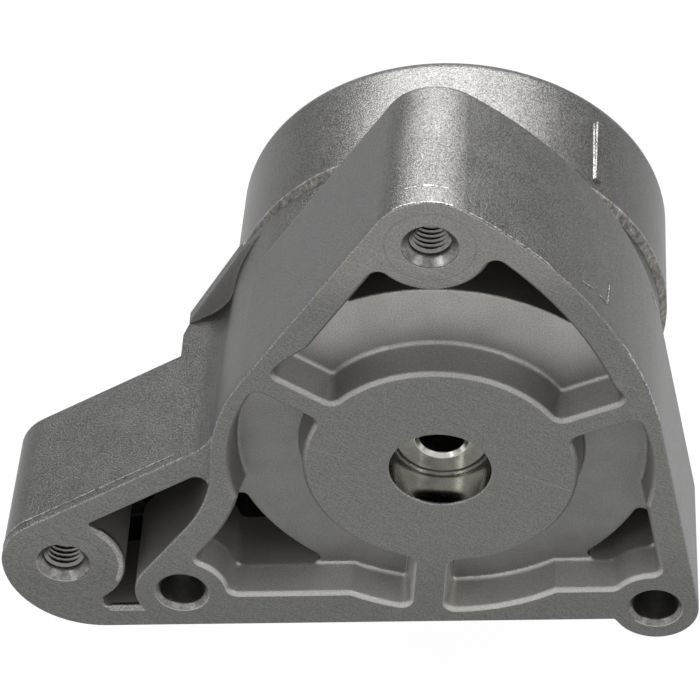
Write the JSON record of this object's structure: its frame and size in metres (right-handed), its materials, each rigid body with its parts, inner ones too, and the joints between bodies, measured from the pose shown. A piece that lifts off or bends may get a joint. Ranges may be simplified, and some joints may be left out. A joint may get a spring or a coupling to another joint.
{
  "type": "belt tensioner",
  "caption": "Automatic belt tensioner: die-cast base that bolts to an engine, spring-loaded arm turning on a hollow pivot, and a smooth pulley on a sealed ball bearing.",
  "frame": {"origin": "the pivot axis where it meets the machined mounting face", "axes": "+Y along the pivot axis, away from the engine; +Z towards the top fixing hole; +X to the right of someone who looks at the mounting face"},
  "size_m": [0.1384, 0.1021, 0.1827],
  "materials": {
    "cast_base": "fine-grained grey die casting, machined face",
    "cast_arm": "bright die casting, fine grain",
    "steel": "turned steel",
    "spring_steel": "dark oiled spring steel",
    "bolt_steel": "zinc-plated steel",
    "bush_polymer": "filled bearing polymer",
    "shoe_polymer": "friction polymer",
    "black_plastic": "moulded",
    "pulley_plastic": "glass-filled moulded polymer",
    "cage_plastic": "moulded",
    "seal_rubber": "moulded seal"
  },
  "bodies": {
    "base": {"base_housing": "cast_base", "pivot_shaft": "steel", "spring_seat": "black_plastic", "torsion_spring": "spring_steel", "thrust_washer": "bush_polymer", "retaining_plate": "steel", "pivot_cap": "black_plastic"},
    "arm": {"tensioner_arm": "cast_arm", "pivot_bushing": "bush_polymer", "damping_shoe": "shoe_polymer", "damping_band": "steel", "bearing_inner_ring": "steel", "bearing_bush": "steel", "dust_shield": "steel", "pulley_bolt": "bolt_steel"},
    "pulley": {"pulley": "pulley_plastic", "bearing_outer_ring": "steel", "bearing_seal_front": "seal_rubber", "bearing_seal_rear": "seal_rubber"},
    "cage": {"bearing_cage": "cage_plastic", "bearing_balls": "steel"}
  },
  "joints": [
    {"name": "arm_pivot", "type": "hinge", "parent": "base", "child": "arm", "pos_m": [0, 0, 0], "axis": [0, -1, 0], "range_deg": [0, 45], "stiffness_Nm_per_rad": 20, "springref_deg": -28.65, "deforming": ["torsion_spring"]},
    {"name": "pulley_spin", "type": "hinge", "parent": "arm", "child": "pulley", "pos_m": [0, 0.087, -0.074], "axis": [0, -1, 0], "continuous": true},
    {"name": "cage_spin", "type": "hinge", "parent": "arm", "child": "cage", "pos_m": [0, 0.087, -0.074], "axis": [0, -1, 0], "continuous": true}
  ],
  "couplings": [
    {"joint": "cage_spin", "follows": "pulley_spin", "ratio": 0.6158}
  ]
}
